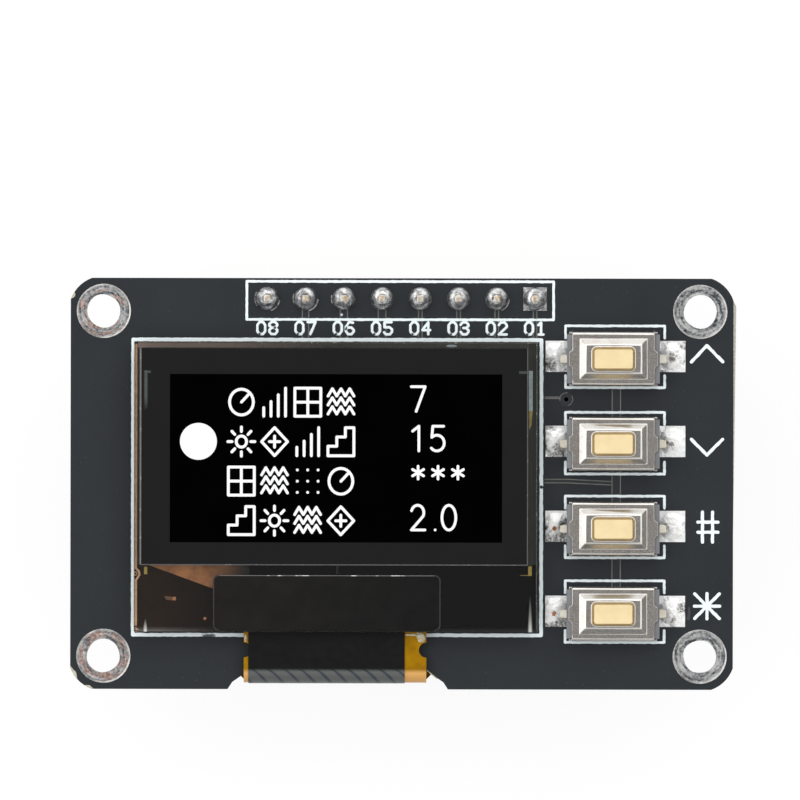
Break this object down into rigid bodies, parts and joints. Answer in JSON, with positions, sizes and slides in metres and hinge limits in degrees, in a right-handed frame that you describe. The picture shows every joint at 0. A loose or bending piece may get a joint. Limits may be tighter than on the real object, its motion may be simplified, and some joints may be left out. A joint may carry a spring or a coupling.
{
  "type": "oled display module with push buttons",
  "caption": "Small graphic display panel on a black circuit board, with a pin header on the back, corner mounting holes and a column of sprung push switches.",
  "frame": {"origin": "centre of the four mounting holes, on the board's back face", "axes": "+X along the board's long side towards the switches, +Y towards the pin header, +Z out of the display"},
  "size_m": [0.0442, 0.0274, 0.0122],
  "materials": {
    "solder_mask": "black solder mask on glass epoxy, satin",
    "tin": "bright tin plating",
    "solder": "reflowed solder, shiny and slightly lumpy",
    "black_nylon": "moulded black nylon",
    "pin_plating": "gold-plated brass",
    "display_glass": "polished glass over dark layers",
    "polarizer": "dark polarizing film, glossy",
    "cap_glass": "etched glass",
    "emitter": "unlit organic layer, black",
    "desiccant": "white drying sheet",
    "silicon": "polished silicon",
    "black_tape": "black film, satin",
    "adhesive": "white foam pad",
    "polyimide": "amber polyimide film",
    "switch_base": "dark moulded thermoplastic",
    "spring_steel": "stainless spring sheet",
    "ivory_button": "ivory moulded plastic",
    "switch_cover": "plated sheet, satin",
    "epoxy": "moulded black epoxy",
    "capacitor_ceramic": "brown ceramic with tinned ends",
    "resistor_ceramic": "black glaze with tinned ends"
  },
  "bodies": {
    "board": {"circuit_board": "solder_mask", "mounting_hole_pads": "tin", "header_strip": "black_nylon", "header_solder": "solder", "front_glass": "display_glass", "polarizer_film": "polarizer", "cap_glass": "cap_glass", "emitter_film": "emitter", "desiccant_sheet": "desiccant", "driver_chip": "silicon", "light_shield_tape": "black_tape", "adhesive_pad": "adhesive", "flex_cable": "polyimide", "flex_cover_film": "black_tape", "flex_solder": "solder", "voltage_regulator": "epoxy", "regulator_leads": "tin", "component_solder": "solder", "header_pin_1": "pin_plating", "header_pin_2": "pin_plating", "header_pin_3": "pin_plating", "header_pin_4": "pin_plating", "header_pin_5": "pin_plating", "header_pin_6": "pin_plating", "header_pin_7": "pin_plating", "header_pin_8": "pin_plating", "switch_1_base": "switch_base", "switch_1_terminals": "tin", "switch_1_dome": "spring_steel", "switch_1_cover": "switch_cover", "switch_1_solder": "solder", "switch_2_base": "switch_base", "switch_2_terminals": "tin", "switch_2_dome": "spring_steel", "switch_2_cover": "switch_cover", "switch_2_solder": "solder", "switch_3_base": "switch_base", "switch_3_terminals": "tin", "switch_3_dome": "spring_steel", "switch_3_cover": "switch_cover", "switch_3_solder": "solder", "switch_4_base": "switch_base", "switch_4_terminals": "tin", "switch_4_dome": "spring_steel", "switch_4_cover": "switch_cover", "switch_4_solder": "solder", "capacitor_1": "capacitor_ceramic", "resistor_1": "resistor_ceramic", "capacitor_2": "capacitor_ceramic", "resistor_2": "resistor_ceramic", "capacitor_3": "capacitor_ceramic", "resistor_3": "resistor_ceramic", "capacitor_4": "capacitor_ceramic", "resistor_4": "resistor_ceramic"},
    "button_1": {"switch_1_plunger": "ivory_button"},
    "button_2": {"switch_2_plunger": "ivory_button"},
    "button_3": {"switch_3_plunger": "ivory_button"},
    "button_4": {"switch_4_plunger": "ivory_button"}
  },
  "joints": [
    {"name": "button_1_press", "type": "slide", "parent": "board", "child": "button_1", "axis": [0, 0, -1], "range_m": [0, 0.00025], "stiffness_N_per_m": 6400, "deforming": ["switch_1_dome"]},
    {"name": "button_2_press", "type": "slide", "parent": "board", "child": "button_2", "axis": [0, 0, -1], "range_m": [0, 0.00025], "stiffness_N_per_m": 6400, "deforming": ["switch_2_dome"]},
    {"name": "button_3_press", "type": "slide", "parent": "board", "child": "button_3", "axis": [0, 0, -1], "range_m": [0, 0.00025], "stiffness_N_per_m": 6400, "deforming": ["switch_3_dome"]},
    {"name": "button_4_press", "type": "slide", "parent": "board", "child": "button_4", "axis": [0, 0, -1], "range_m": [0, 0.00025], "stiffness_N_per_m": 6400, "deforming": ["switch_4_dome"]}
  ]
}
